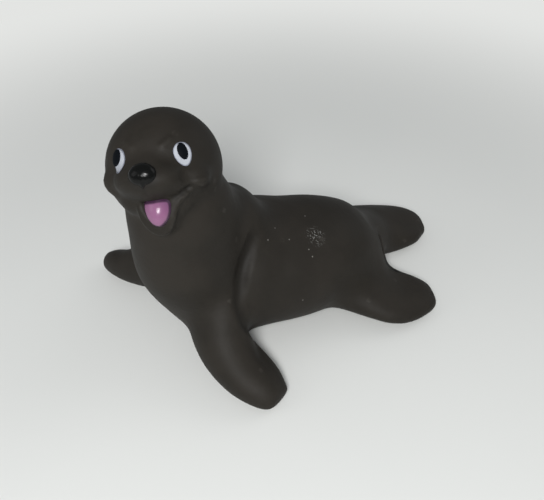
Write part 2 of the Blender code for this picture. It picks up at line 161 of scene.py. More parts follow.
def blended(a: float, b: float, c: float, d: float, t: float) -> float:
    """Read a smooth curve through four values between the second and the third.

    Args:
        a: The value before.
        b: The value at t = 0.
        c: The value at t = 1.
        d: The value after.
        t: Where to read, from 0 to 1.

    Returns:
        The value of the curve.
    """
    bend = 2 * a - 5 * b + 4 * c - d
    return 0.5 * (2 * b + (c - a) * t + bend * t * t + (3 * b - a - 3 * c + d) * t ** 3)


def smooth_rows(rows: list, between: int) -> list[list[float]]:
    """Read more rows of numbers between the given ones, on a smooth curve.

    Args:
        rows: The given rows.
        between: How many rows to read from each given row to the next.

    Returns:
        All rows, the given ones included.
    """
    first = [2 * p - q for p, q in zip(rows[0], rows[1])]
    last = [2 * p - q for p, q in zip(rows[-1], rows[-2])]
    keys = [first, *rows, last]
    made = []
    for k in range(1, len(keys) - 2):
        for step in range(between):
            made.append([blended(*four, step / between) for four in zip(*keys[k - 1:k + 3])])
    made.append(list(rows[-1]))
    return made


def piece_from(mesh: Mesh, name: str) -> Item:
    """Make an object of a bmesh and free the bmesh.

    Args:
        mesh: The mesh, in the row frame.
        name: The object's name.

    Returns:
        The object, at the origin and unscaled.
    """
    data = bpy.data.meshes.new(name)
    mesh.to_mesh(data)
    mesh.free()
    made = bpy.data.objects.new(name, data)
    bpy.context.scene.collection.objects.link(made)
    return made


def bake(item: Item) -> None:
    """Replace an object's mesh by what its modifiers make of it, and remove them.

    Args:
        item: The object.
    """
    bpy.context.view_layer.update()
    depsgraph = bpy.context.evaluated_depsgraph_get()
    data = bpy.data.meshes.new_from_object(item.evaluated_get(depsgraph))
    item.modifiers.clear()
    item.data = data


def loop_edges(verts: list[bmesh.types.BMVert]) -> list[bmesh.types.BMEdge]:
    """The edges between the given vertices of one ring."""
    ring = set(verts)
    return list({edge for vert in verts for edge in vert.link_edges if edge.other_vert(vert) in ring})


def close_holes(mesh: Mesh) -> None:
    """Close every open loop of a mesh with a face."""
    bmesh.ops.holes_fill(mesh, edges=[edge for edge in mesh.edges if edge.is_boundary])


def cut_off(mesh: Mesh, place: Vector, out: Vector) -> None:
    """Take away what lies beyond a plane and close the cut.

    Args:
        mesh: The mesh.
        place: A point of the plane.
        out: The direction in which all is taken away.
    """
    geometry = mesh.verts[:] + mesh.edges[:] + mesh.faces[:]
    bmesh.ops.bisect_plane(mesh, geom=geometry, plane_co=place, plane_no=out, clear_outer=True)
    close_holes(mesh)


def lofted(rings: list[Matrix], points: int) -> Mesh:
    """Bridge circles that are placed and stretched by matrices, and close both ends.

    Args:
        rings: One matrix for each circle of radius 1.
        points: How many points each circle has.

    Returns:
        A closed mesh with its faces outwards.
    """
    mesh = bmesh.new()
    loops = []
    for place in rings:
        circle = bmesh.ops.create_circle(mesh, segments=points, radius=1.0, matrix=place)
        loops.append(loop_edges(circle["verts"]))
    for first, second in zip(loops, loops[1:]):
        bmesh.ops.bridge_loops(mesh, edges=first + second)
    close_holes(mesh)
    bmesh.ops.recalc_face_normals(mesh, faces=mesh.faces)
    return mesh


def ring_matrix(centre: Vector, across: Vector, up: Vector, half_width: float, half_height: float) -> Matrix:
    """The matrix that lays a circle of radius 1 round a centre as an ellipse.

    Args:
        centre: The ellipse's centre.
        across: The direction of its width.
        up: The direction of its height.
        half_width: Half its width.
        half_height: Half its height.

    Returns:
        The matrix.
    """
    place = Matrix((across * half_width, up * half_height, across.cross(up))).transposed().to_4x4()
    place.translation = centre
    return place


def joined(pieces: list[Item], name: str) -> Item:
    """Put all pieces, still overlapping, into one object.

    Args:
        pieces: The pieces, which are removed.
        name: The new object's name.

    Returns:
        The new object.
    """
    mesh = bmesh.new()
    for piece in pieces:
        mesh.from_mesh(piece.data)
        bpy.data.objects.remove(piece)
    return piece_from(mesh, name)


@dataclass
class Modeller:
    """The tools that shape the soft skin."""

    ring_points: int = 48
    rings_between: int = 8
    ball_subdivisions: int = 5
    smoothing: float = 0.5

    def loft(self, stations: list[Station], place: Matrix, side: Vector = Vector((1, 0, 0))) -> Item:
        """Make a closed solid through elliptical stations.

        Args:
            stations: The stations, in millimetres.
            place: The frame in which they are given.
            side: The direction of the stations' width.

        Returns:
            The solid.
        """
        rows = smooth_rows([station.values() for station in stations], self.rings_between)
        centres = [Vector(row[:3]) for row in rows]
        to_row = place @ Matrix.Scale(MM, 4)
        rings = []
        for i, row in enumerate(rows):
            ahead = (centres[min(i + 1, len(rows) - 1)] - centres[max(i - 1, 0)]).normalized()
            across = (side - ahead * side.dot(ahead)).normalized()
            up = ahead.cross(across)
            rings.append(to_row @ ring_matrix(centres[i], across, up, row[3], row[4]))
        return piece_from(lofted(rings, self.ring_points), "loft")

    def ball(self, shape: Ball, place: Matrix, side: Side = Side.LEFT, name: str = "ball") -> Item:
        """Make a stretched ball.

        Args:
            shape: The ball, in millimetres.
            place: The frame in which it is given.
            side: RIGHT mirrors it across the frame's X.
            name: The object's name.

        Returns:
            The ball.
        """
        x, y, z = shape.centre
        mesh = bmesh.new()
        bmesh.ops.create_icosphere(mesh, subdivisions=self.ball_subdivisions, radius=1.0)
        for vert in mesh.verts:
            vert.co.x *= 1 + shape.taper * vert.co.z
            vert.co.y += shape.lean * vert.co.z
        stretch = Matrix.Translation((side.value * x, y, z)) @ Matrix.Diagonal((*shape.radii, 1))
        bmesh.ops.transform(mesh, matrix=place @ Matrix.Scale(MM, 4) @ stretch, verts=mesh.verts)
        return piece_from(mesh, name)

    def remesh(self, item: Item, voxel: float, steps: int) -> None:
        """Lay one even skin round all pieces of an object and smooth it.

        Args:
            item: The object.
            voxel: The skin's grid size, in metres.
            steps: How often the skin is smoothed.
        """
        remesh = item.modifiers.new("skin", "REMESH")
        remesh.mode = "VOXEL"
        remesh.voxel_size = voxel
        smooth = item.modifiers.new("soften", "SMOOTH")
        smooth.factor = self.smoothing
        smooth.iterations = steps
        bake(item)

    def soften(self, item: Item, share: Callable[[Vector], float], steps: int) -> None:
        """Smooth a skin, each point by its own share.

        Args:
            item: The skin.
            share: Says how fully a place is smoothed, from 0 to 1. Less and more are clamped.
            steps: How often the skin is smoothed.
        """
        item.vertex_groups.clear()
        group = item.vertex_groups.new(name="softened")
        for vert in item.data.vertices:
            group.add([vert.index], max(0.0, min(1.0, share(vert.co))), "REPLACE")
        smooth = item.modifiers.new("soften", "SMOOTH")
        smooth.factor = self.smoothing
        smooth.iterations = steps
        smooth.vertex_group = group.name
        bake(item)

    def cut(self, item: Item, cutter: Item) -> None:
        """Cut one closed shape out of another and remove the cutter.

        Args:
            item: The shape that is cut.
            cutter: The shape that is taken away.
        """
        boolean = item.modifiers.new("cut", "BOOLEAN")
        boolean.operation = "DIFFERENCE"
        boolean.solver = "EXACT"
        boolean.object = cutter
        bake(item)
        bpy.data.objects.remove(cutter)

    def surface(self, item: Item) -> BVHTree:
        """Make a search tree over an object's faces.

        Args:
            item: The object.

        Returns:
            The tree.
        """
        mesh = bmesh.new()
        mesh.from_mesh(item.data)
        tree = BVHTree.FromBMesh(mesh)
        mesh.free()
        return tree

    def draw(self, item: Item, strokes: list[tuple[list[Vector], Stroke]]) -> None:
        """Sink or raise a skin along lines that lie on it, and write how much shade is painted along them to
        an attribute of the skin.

        Args:
            item: The skin.
            strokes: Each line's points on the skin, and the stroke that goes along them.
        """
        mesh = bmesh.new()
        mesh.from_mesh(item.data)
        painted_shade = mesh.verts.layers.float.new("painted_shade")
        for points, stroke in strokes:
            mesh.normal_update()
            near = KDTree(len(points))
            for i, point in enumerate(points):
                near.insert(point, i)
            near.balance()
            low = Vector([min(p[k] for p in points) - stroke.width for k in range(3)])
            high = Vector([max(p[k] for p in points) + stroke.width for k in range(3)])
            moves = []
            for vert in mesh.verts:
                if not all(low[k] < vert.co[k] < high[k] for k in range(3)):
                    continue
                _, index, distance = near.find(vert.co)
                if distance < stroke.width:
                    ends = min(1.0, (index + 1) / stroke.fade, (len(points) - index) / stroke.fade)
                    share = (1 + math.cos(math.pi * distance / stroke.width)) / 2
                    moves.append((vert, vert.normal * stroke.depth * share * ends))
                    # painted shade along the line, strongest at its middle
                    vert[painted_shade] = max(vert[painted_shade], stroke.painted_shade * share * ends)
            for vert, move in moves:
                vert.co -= move
        mesh.to_mesh(item.data)
        mesh.free()


TOOLS = Modeller()


@dataclass
class Body:
    """Torso, neck and four flippers."""

    chest: Placement = Placement(-0.0010, -0.0335, turn=24)
    right_arm: Placement = Placement(-0.0109, -0.0267, turn=43.5)
    right_arm_breadth: float = 0.77
    hind: Placement = Placement(-0.0080, 0.0180, turn=-13)
    torso: tuple[Station, ...] = (
        Station(-8, 24.5, 5.5, 4, 3.5),
        Station(-7.8, 20, 8.5, 12.5, 8.5),
        Station(-7.3, 12.5, 12.5, 15.8, 13.5),
        Station(-5.7, 4, 14.8, 17.9, 15.7),
        Station(-4.6, -6, 16.2, 19.6, 16.3),
        Station(-4.5, -16, 17.5, 19.5, 17.8),
        Station(-2, -26, 19, 17.5, 18),
        Station(1, -35, 21, 12, 13),
        Station(2, -40, 23, 5, 6),
    )
    nape: Ball = Ball((-3.6, -23, 32.5), (11.5, 11, 11.5))
    withers: Ball = Ball((-4.2, -17.5, 22.5), (13, 12.5, 14))
    scruff: Ball = Ball((-0.5, -21.5, 36), (7, 8.5, 8.6))
    rump: Ball = Ball((-11.5, 23, 11), (8, 8.5, 7))
    neck: tuple[Station, ...] = (
        Station(1.0, 1.5, 5, 12.5, 6),
        Station(0.8, -0.3, 16, 14.8, 10),
        Station(1.0, -1.9, 27, 14.7, 13.4),
        Station(1.9, -1.9, 38, 13.3, 14.9),
        Station(2.3, -3.9, 48, 12.4, 13.1),
        Station(1.0, -4, 57, 10, 10),
    )
    arm: tuple[Station, ...] = (
        Station(0, 2, 24, 9.5, 13),
        Station(8.6, 0.3, 17.5, 8.8, 11),
        Station(16.6, -3.8, 9.5, 7.6, 8.5),
        Station(24.9, -5.5, 6, 6.2, 6),
        Station(31.9, -4.3, 4.2, 5.3, 4.5),
        Station(35.9, -2.9, 3, 3.2, 3),
    )
    right_arm_root: Station = Station(9, -6, 23, 7, 9)
    blade: tuple[Station, ...] = (
        Station(6.1, 0.0, 8, 6.8, 8),
        Station(12.9, -1.5, 5.5, 6.7, 5.5),
        Station(19.5, -2.3, 4.3, 7.4, 4.8),
        Station(26.4, -2.5, 3.6, 7.2, 4.2),
        Station(32.3, -2.9, 3, 6.4, 3.5),
        Station(36.9, -2.1, 2.5, 4.5, 2),
    )
    left_hind: tuple[Station, ...] = (
        Station(4.2, -15, 10, 12, 10),
        Station(8.4, -6.3, 8.6, 13, 8.8),
        Station(12.6, 1.2, 6.2, 13.0, 6.6),
        Station(15.4, 9.3, 3.8, 11.9, 4.3),
        Station(15.6, 17, 3.2, 8.2, 3.3),
        Station(15.2, 21.2, 2.8, 4.6, 2.1),
    )
    right_hind: tuple[Station, ...] = (
        Station(-2.5, -13, 11, 12, 11),
        Station(-6.0, -4, 9.2, 12.0, 9.2),
        Station(-11.7, 4.8, 6.6, 10.5, 7.4),
        Station(-15.8, 14, 4.5, 10.6, 5.2),
        Station(-18.0, 22, 3.4, 9.1, 3.5),
        Station(-18.5, 27.2, 2.8, 4.8, 2),
    )
    strokes: tuple[Stroke, ...] = (
        # the crease between shoulder and torso, with painted shade in it
        Stroke(((4.3, -17.2, 36.4), (6.3, -19.9, 33.9), (8.6, -21.8, 31), (10.5, -23.5, 28.1),
                (12.4, -24.7, 24.6), (14.8, -25.9, 21.9), (16.7, -25.6, 18.9), (17.2, -24.6, 15),
                (13.5, -22.6, 8), (12, -21, 2)), 0.0028, 0.0009, 10, 0.45),
        # the slit where the right hind flipper leaves the torso, with painted shade in it
        Stroke(((-4.9, 23.7, 16.4), (-3.3, 23.6, 15.4), (-2.0, 23.2, 14.2), (-1.0, 23.2, 12.9),
                (0.0, 23.6, 11.6)), 0.0018, 0.0010, 10, 1.0),
        # the undercut between the flippers, darkened with painted shade
        Stroke(((-2.0, 23.2, 14.2), (-1.0, 23.2, 12.9), (0.0, 23.6, 11.6), (0.9, 24.4, 9.8),
                (1.5, 25.4, 7.8), (2.2, 27.0, 6.3), (3.0, 28.8, 6.0)), 0.0024, 0.0005, 12, 1.0),
        # two nicks in the edge of the left hind flipper
        Stroke(((9.0, 34.0, 5.0), (9.5, 33.6, 5.4)), 0.0008, 0.00025, 1),
        Stroke(((13.4, 33.6, 4.8), (13.8, 33.0, 5.3)), 0.0009, 0.00030, 1),
    )
    fillets: tuple[Fillet, ...] = (
        Fillet((8, 12, 10), 13), Fillet((-16, 20, 12), 12), Fillet((-7, 24, 16.5), 14),
        Fillet((-10, 27, 14), 14), Fillet((3, -20, 40), 11), Fillet((1, -14, 34.5), 13),
    )

    def pieces(self) -> list[Item]:
        """Build the torso, the neck and the flippers as overlapping pieces.

        Returns:
            The pieces, in the row frame.
        """
        chest = self.chest.matrix()
        right = self.right_arm.matrix() @ Matrix.Diagonal((1, self.right_arm_breadth, 1, 1))
        hind = self.hind.matrix()
        along = Vector((0, 1, 0))
        right_arm = [self.right_arm_root, *(station.mirrored() for station in self.arm)]
        right_blade = [station.mirrored() for station in self.blade]
        return [
            TOOLS.loft(list(self.torso), ROW),
            TOOLS.loft(list(self.neck), chest),
            TOOLS.ball(self.nape, ROW),
            TOOLS.ball(self.withers, ROW),
            TOOLS.ball(self.scruff, ROW),
            TOOLS.ball(self.rump, ROW),
            TOOLS.loft(list(self.arm), chest, along),
            TOOLS.loft(list(self.blade), chest, along),
            TOOLS.loft(right_arm, right, along),
            TOOLS.loft(right_blade, right, along),
            TOOLS.loft(list(self.left_hind), hind),
            TOOLS.loft(list(self.right_hind), hind),
        ]

    def lines(self, tree: BVHTree) -> list[tuple[list[Vector], Stroke]]:
        """Lay the body's strokes on the skin.

        Args:
            tree: The skin.

        Returns:
            Each stroke's points on the skin, and the stroke.
        """
        made = []
        for stroke in self.strokes:
            path = smooth_rows(list(stroke.path), POINTS_BETWEEN)
            made.append(([tree.find_nearest(ROW @ (Vector(point) * MM))[0] for point in path], stroke))
        return made


@dataclass
class Head:
    """Skull, muzzle, cheeks, jaw and the open mouth."""

    place: Placement = Placement(0.0019, -0.0382, 0.0574, turn=61.5, pitch=30, roll=9)
    dome: Ball = Ball((-0.1, 0, 0.2), (13.5, 13.3, 13.5))
    bridge: Ball = Ball((0, -8.4, 0.6), (5.0, 6.8, 3.8))
    muzzle: Ball = Ball((0, -9.6, -2.2), (8.7, 8.1, 4.7))
    cheek: Ball = Ball((8.5, -6.9, -2.2), (3.9, 4.0, 3.7))
    jowl: Ball = Ball((4.7, -6.2, -6.2), (4.2, 5.7, 4.2))
    jaw: Ball = Ball((0.8, -6.3, -8.9), (5.2, 7.6, 6.1), 0.1)
    mouth: Ball = Ball((0.8, -15.0, -7.2), (4.1, 4.4, 5.9), 0.18)
    upper_lip_height: float = -6.7
    upper_lip_tilt: float = 3.0
    lip_path: tuple[tuple[float, float], ...] = (
        (-3.2, -7.6), (-3.1, -8.4), (-2.9, -9.6), (-2.2, -11.4), (-0.9, -13.1), (0.8, -14.0),
        (2.6, -13.2), (3.9, -11.1), (4.7, -9.0), (5.4, -7.7), (6.6, -6.4), (7.8, -5.3), (8.9, -4.4))
    lip_radius: float = 0.00085
    lip_end: float = 0.35
    lip_fullness: float = 0.4
    lip_points: int = 16
    lip_rings_between: int = 6
    before_face: float = -0.04
    strokes: tuple[Stroke, ...] = (
        # the inner end of the left brow, and of the right one
        Stroke(((3.0, 4.1), (3.7, 5.0), (4.7, 5.8), (5.6, 6.4)), 0.0014, -0.00040, 8),
        Stroke(((-3.0, 4.1), (-3.7, 5.0), (-4.7, 5.8), (-5.6, 6.4)), 0.0014, -0.00030, 8),
        # the line from the nose down to the mouth, with a little painted shade in it
        Stroke(((0.0, -3.2), (0.1, -4.4), (0.3, -5.6)), 0.0007, 0.00016, 6, 0.2),
        # the crease of the smile with painted shade in it, and the full cheek behind it with the valley
        # before it
        Stroke(((4.3, -6.5), (5.6, -6.1), (6.8, -5.4), (7.9, -4.5), (8.9, -3.6)), 0.0009, 0.00038, 8, 0.5),
        Stroke(((9.8, -4.4), (10.3, -3.4), (10.3, -2.2)), 0.0042, -0.0007, 6),
        Stroke(((8.1, -0.6), (7.8, -1.8), (7.2, -3.0)), 0.0020, 0.00045, 8),
    )

    def matrix(self) -> Matrix:
        """The head's frame in the row frame."""
        return self.place.matrix()

    def pieces(self) -> list[Item]:
        """Build the skull, muzzle, cheeks and jaw as overlapping pieces.

        Returns:
            The pieces, in the row frame.
        """
        head = self.matrix()
        made = [TOOLS.ball(shape, head) for shape in (self.dome, self.bridge, self.muzzle, self.jaw)]
        for side in Side:
            made.append(TOOLS.ball(self.cheek, head, side))
            made.append(TOOLS.ball(self.jowl, head, side))
        return made

    def on_face(self, tree: BVHTree, x: float, z: float) -> tuple[Vector, Vector]:
        """Find the skin straight behind a point of the head's XZ plane.

        Args:
            tree: The skin.
            x: To the seal's left, in metres.
            z: Up, in metres.

        Returns:
            The point of the skin and the skin's normal there.
        """
        head = self.matrix()
        start = head @ Vector((x, self.before_face, z))
        point, normal, _, _ = tree.ray_cast(start, head.to_3x3() @ Vector((0, 1, 0)))
        return point, normal

    def mouth_cutter(self) -> Item:
        """Build the cavity: a ball cut off straight under the upper lip.

        Returns:
            The cutter.
        """
        head = self.matrix()
        cutter = TOOLS.ball(self.mouth, head)
        mesh = bmesh.new()
        mesh.from_mesh(cutter.data)
        level = head @ Vector((0, 0, self.upper_lip_height * MM))
        tilt = Matrix.Rotation(math.radians(-self.upper_lip_tilt), 3, "Y")
        cut_off(mesh, level, head.to_3x3() @ tilt @ Vector((0, 0, 1)))
        mesh.to_mesh(cutter.data)
        mesh.free()
        return cutter

    def lower_lip(self, tree: BVHTree) -> Item:
        """Build the rounded rim from one cheek round the chin to the other, half sunk in the skin.

        Args:
            tree: The skin.

        Returns:
            The rim.
        """
        rows = smooth_rows(list(self.lip_path), self.lip_rings_between)
        path = [self.on_face(tree, x * MM, z * MM)[0] for x, z in rows]
        out = self.matrix().to_3x3() @ Vector((0, -1, 0))
        rings = []
        for i, centre in enumerate(path):
            ahead = (path[min(i + 1, len(path) - 1)] - path[max(i - 1, 0)]).normalized()
            across = ahead.cross(out).normalized()
            up = across.cross(ahead)
            along = math.sin(math.pi * (i + 1) / (len(path) + 1)) ** self.lip_fullness
            radius = self.lip_radius * (self.lip_end + (1 - self.lip_end) * along)
            rings.append(ring_matrix(centre, across, up, radius, radius))
        return piece_from(lofted(rings, self.lip_points), "lip")

    def lines(self, tree: BVHTree) -> list[tuple[list[Vector], Stroke]]:
        """Lay the face's strokes on the skin.

        Args:
            tree: The skin.

        Returns:
            Each stroke's points on the skin, and the stroke.
        """
        made = []
        for stroke in self.strokes:
            path = smooth_rows(list(stroke.path), POINTS_BETWEEN)
            made.append(([self.on_face(tree, x * MM, z * MM)[0] for x, z in path], stroke))
        return made


@dataclass
class Skin:
    """The seal's one moulded skin."""

    body: Body
    head: Head
    soft_voxel: float = 0.0007
    fine_voxel: float = 0.00048
    head_soften_steps: int = 12
    body_soften_steps: int = 40
    head_reach: float = 0.013
    fillet_steps: int = 240
    fillet_gain: float = 1.5
    refine_steps: int = 4
    sharp_angle: float = 40.0
    floor_level: float = 1e-5

    def build(self) -> Item:
        """Build the skin from the masses of body and head.

        Returns:
            The skin, flat where it stands on the floor.
        """
        skin = joined(self.body.pieces() + self.head.pieces(), "seal_skin")
        TOOLS.remesh(skin, self.soft_voxel, self.head_soften_steps)
        centre = self.head.matrix().translation
        reach = self.head_reach
        TOOLS.soften(skin, lambda at: ((at - centre).length - reach) / reach, self.body_soften_steps)
        for fillet in self.body.fillets:
            self.blend(skin, fillet)
        TOOLS.cut(skin, self.head.mouth_cutter())
        lip = self.head.lower_lip(TOOLS.surface(skin))
        skin = joined([skin, lip], "seal_skin")
        TOOLS.remesh(skin, self.fine_voxel, self.refine_steps)
        tree = TOOLS.surface(skin)
        TOOLS.draw(skin, self.body.lines(tree) + self.head.lines(tree))
        self.flatten(skin)
        skin.data.shade_smooth()
        return skin

    def blend(self, skin: Item, fillet: Fillet) -> None:
        """Smooth the skin near a place where two masses meet.

        Args:
            skin: The skin.
            fillet: The place and how far the smoothing reaches, fading over its outer two thirds.
        """
        centre = ROW @ (Vector(fillet.place) * MM)
        gain = self.fillet_gain
        reach = fillet.reach * MM
        TOOLS.soften(skin, lambda at: gain * (1 - (at - centre).length / reach), self.fillet_steps)

    def flatten(self, skin: Item) -> None:
        """Cut the skin off at the floor and close it with a flat face.

        Args:
            skin: The skin.
        """
        mesh = bmesh.new()
        mesh.from_mesh(skin.data)
        cut_off(mesh, Vector((0, 0, 0)), Vector((0, 0, -1)))
        bmesh.ops.recalc_face_normals(mesh, faces=mesh.faces)
        for edge in mesh.edges:
            sharp = edge.calc_face_angle(0.0) > math.radians(self.sharp_angle)
            if sharp and max(vert.co.z for vert in edge.verts) < self.floor_level:
                edge.smooth = False
        mesh.to_mesh(skin.data)
        mesh.free()


@dataclass
class PaintShape:
    """A patch of paint on the face, slightly proud of the skin and domed."""

    name: str
    head: Head
    centre_x: float
    centre_z: float
    height: float
    dome: float
    points: int = 96
    rings: int = 12
    seat: float = 0.0006

    def outline(self, angle: float) -> tuple[float, float]:
        """Find the outline's point at an angle from the top; each kind of patch has its own outline.

        Args:
            angle: The angle, in radians.

        Returns:
            X and Z from the patch's centre, in metres.
        """
        raise NotImplementedError

    def build(self, tree: BVHTree) -> Item:
        """Build the patch from concentric rings laid on the skin.

        Args:
            tree: The skin.

        Returns:
            The patch, a closed solid whose attribute rim is 1 at the outline and 0 in the middle.
        """
        mesh = bmesh.new()
        rim = mesh.verts.layers.float.new("rim")
        loops = []
        back = self.head.matrix().to_3x3() @ Vector((0, 1, 0))
        for r in range(self.rings, 0, -1):
            share = r / self.rings
            circle = bmesh.ops.create_circle(mesh, segments=self.points, radius=1.0)["verts"]
            for k, vert in enumerate(circle):
                self.lay(vert, tree, math.tau * k / self.points, share)
                vert[rim] = share
            loops.append(circle)
        seat = bmesh.ops.create_circle(mesh, segments=self.points, radius=1.0)["verts"]
        for low, top in zip(seat, loops[0]):
            low.co = top.co + back * (self.seat + self.height)
            low[rim] = 1.0
        for first, second in zip([seat, *loops], loops):
            bmesh.ops.bridge_loops(mesh, edges=loop_edges(first) + loop_edges(second))
        close_holes(mesh)
        bmesh.ops.poke(mesh, faces=[face for face in mesh.faces if len(face.verts) > 4])
        bmesh.ops.recalc_face_normals(mesh, faces=mesh.faces)
        made = piece_from(mesh, self.name)
        made.data.shade_smooth()
        return made

    def lay(self, vert: bmesh.types.BMVert, tree: BVHTree, angle: float, share: float) -> None:
        """Lay one point of a ring on the skin.

        Args:
            vert: The point.
            tree: The skin.
            angle: The point's angle from the top.
            share: The ring's size, 1 at the outline.
        """
        x, z = self.outline(angle)
        point, normal = self.head.on_face(tree, self.centre_x + x * share, self.centre_z + z * share)
        vert.co = point + normal * self.rise(z * share, share)

    def rise(self, z: float, share: float) -> float:
        """The patch's height above the skin, from the height over its centre and the ring's size."""
        return self.height + self.dome * (1 - share ** 2)


def turned(x: float, z: float, degrees: float) -> tuple[float, float]:
    """Turn a point about the origin."""
    angle = math.radians(degrees)
    return x * math.cos(angle) - z * math.sin(angle), x * math.sin(angle) + z * math.cos(angle)


@dataclass
class EyeWhite(PaintShape):
    """The white of an eye: a drop with its rounded point down, that leans by some degrees."""

    side: Side = Side.LEFT
    half_width: float = 0.0018
    half_height: float = 0.00265
    taper: float = 0.32
    taper_power: float = 1.5
    lean: float = 0.0

    def outline(self, angle: float) -> tuple[float, float]:
        """Find the drop's point at an angle from its top.

        Args:
            angle: The angle, in radians.

        Returns:
            X and Z from the drop's centre, in metres.
        """
        low = (1 - math.cos(angle)) / 2
        across = self.half_width * math.sin(angle) * (1 - self.taper * low ** self.taper_power)
        x, z = turned(across, self.half_height * math.cos(angle), self.lean)
        return self.side.value * x, z


@dataclass
class Pupil(PaintShape):
    """The pupil of an eye: an upright oval."""

    side: Side = Side.LEFT
    half_width: float = 0.00088
    half_height: float = 0.00185
    lean: float = 0.0

    def outline(self, angle: float) -> tuple[float, float]:
        """The oval's point at an angle from its top, in metres."""
        x, z = turned(self.half_width * math.sin(angle), self.half_height * math.cos(angle), self.lean)
        return self.side.value * x, z


@dataclass
class Nose(PaintShape):
    """The nose: a wide oval with a small point at the bottom."""

    half_width: float = 0.0030
    half_height: float = 0.0021
    point: float = 0.0007
    point_half_width: float = 0.0007
    lean: float = 0.30
    edge_power: int = 6

    def outline(self, angle: float) -> tuple[float, float]:
        """Find the oval's point at an angle from its top.

        Args:
            angle: The angle, in radians.

        Returns:
            X and Z from the oval's centre, in metres.
        """
        x = self.half_width * math.sin(angle)
        z = self.half_height * math.cos(angle)
        if z < 0:
            z -= self.point * max(0.0, 1 - abs(x) / self.point_half_width)
        return x, z

    def rise(self, z: float, share: float) -> float:
        """The height above the skin, more towards the top so that the nose faces forward."""
        lift = self.lean * max(0.0, self.half_height + z)
        return super().rise(z, share) + lift * (1 - share ** self.edge_power)


@dataclass
class Tongue:
    """The tongue, a glossy pad that fills most of the open mouth."""

    head: Head
    shape: Ball = Ball((1.2, -10.4, -8.35), (3.4, 3.65, 4.25), 0.17, 0.26)
    rim_width: float = 0.0010

    def build(self, tree: BVHTree) -> Item:
        """Build the tongue.

        Args:
            tree: The skin.

        Returns:
            The tongue, sunk in the floor of the mouth. Its attribute rim is 1 where it meets the mouth.
        """
        made = TOOLS.ball(self.shape, self.head.matrix(), name="tongue")
        rim = made.data.attributes.new("rim", "FLOAT", "POINT")
        for vert, value in zip(made.data.vertices, rim.data):
            gap = tree.find_nearest(vert.co)[3]
            value.value = max(0.0, 1 - gap / self.rim_width)
        made.data.shade_smooth()
        return made


@dataclass
class Nodes:
    """A short way to build one node tree."""

    tree: Tree

    def fill(self, node: bpy.types.Node, inputs: dict) -> None:
        """Give a node its inputs.

        Args:
            node: The node.
            inputs: Input names or numbers, each with a socket to link or a value to set.
        """
        for key, value in inputs.items():
            if isinstance(value, Socket):
                self.tree.links.new(value, node.inputs[key])
            else:
                node.inputs[key].default_value = value

    def add(self, kind: str, inputs: dict | None = None, **settings: object) -> bpy.types.Node:
        """Add a node.

        Args:
            kind: The node's type name.
            inputs: Its inputs, as fill takes them.
            **settings: Properties of the node.

        Returns:
            The node.
        """
        node = self.tree.nodes.new(kind)
        for name, value in settings.items():
            setattr(node, name, value)
        self.fill(node, inputs or {})
        return node

    def place(self) -> Socket:
        """Add the object's coordinates and return their output."""
        return self.add("ShaderNodeTexCoord").outputs["Object"]

    def attribute(self, name: str) -> Socket:
        """Add an attribute of the piece and return its value."""
        return self.add("ShaderNodeAttribute", attribute_name=name).outputs["Fac"]

    def group(self, tree: Tree, **inputs: object) -> bpy.types.NodeOutputs:
        """Add a node group with the given inputs and return its outputs."""
        return self.add("ShaderNodeGroup", inputs, node_tree=tree).outputs

    def math(self, operation: str, first: object, second: object) -> Socket:
        """Add a Math node and return its output."""
        return self.add("ShaderNodeMath", {0: first, 1: second}, operation=operation).outputs[0]

    def times(self, first: object, second: object) -> Socket:
        """Multiply two numbers and return the product."""
        return self.math("MULTIPLY", first, second)

    def mix(self, factor: object, first: object, second: object) -> Socket:
        """Add a Mix node for colours and return its output."""
        return self.add("ShaderNodeMix", {0: factor, 6: first, 7: second}, data_type="RGBA").outputs[2]

    def ramp(self, value: object, low: object, high: object, start: float = 0.0, end: float = 1.0) -> Socket:
        """Add a Map Range node that is smooth at both ends and return its output."""
        inputs = {0: value, 1: low, 2: high, 3: start, 4: end}
        return self.add("ShaderNodeMapRange", inputs, interpolation_type="SMOOTHSTEP").outputs[0]

    def noise(self, vector: Socket, scale: float, detail: float = 3.0, roughness: float = 0.5) -> Socket:
        """Add a Noise Texture node and return its value."""
        inputs = {"Vector": vector, "Scale": scale, "Detail": detail, "Roughness": roughness}
        return self.add("ShaderNodeTexNoise", inputs).outputs[0]

    def bump(self, height: Socket, strength: float, distance: float, **under: Socket) -> Socket:
        """Add a Bump node, over the one given as Normal, and return its output."""
        inputs = {"Height": height, "Strength": strength, "Distance": distance, **under}
        return self.add("ShaderNodeBump", inputs).outputs[0]


def new_group(
    name: str, vectors: tuple[str, ...], numbers: tuple[str, ...], outputs: tuple[str, ...],
) -> tuple[Nodes, bpy.types.NodeOutputs]:
    """Make an empty shader node group.

    Args:
        name: The group's name.
        vectors: The names of its inputs that are vectors.
        numbers: The names of its inputs that are numbers.
        outputs: The names of its outputs, all numbers.

    Returns:
        A builder for the group's nodes, and the sockets of its inputs.
    """
    tree = bpy.data.node_groups.new(name, "ShaderNodeTree")
    for key in vectors:
        tree.interface.new_socket(name=key, in_out="INPUT", socket_type="NodeSocketVector")
    for key in numbers:
        tree.interface.new_socket(name=key, in_out="INPUT", socket_type="NodeSocketFloat")
    for key in outputs:
        tree.interface.new_socket(name=key, in_out="OUTPUT", socket_type="NodeSocketFloat")
    nodes = Nodes(tree)
    return nodes, nodes.add("NodeGroupInput").outputs


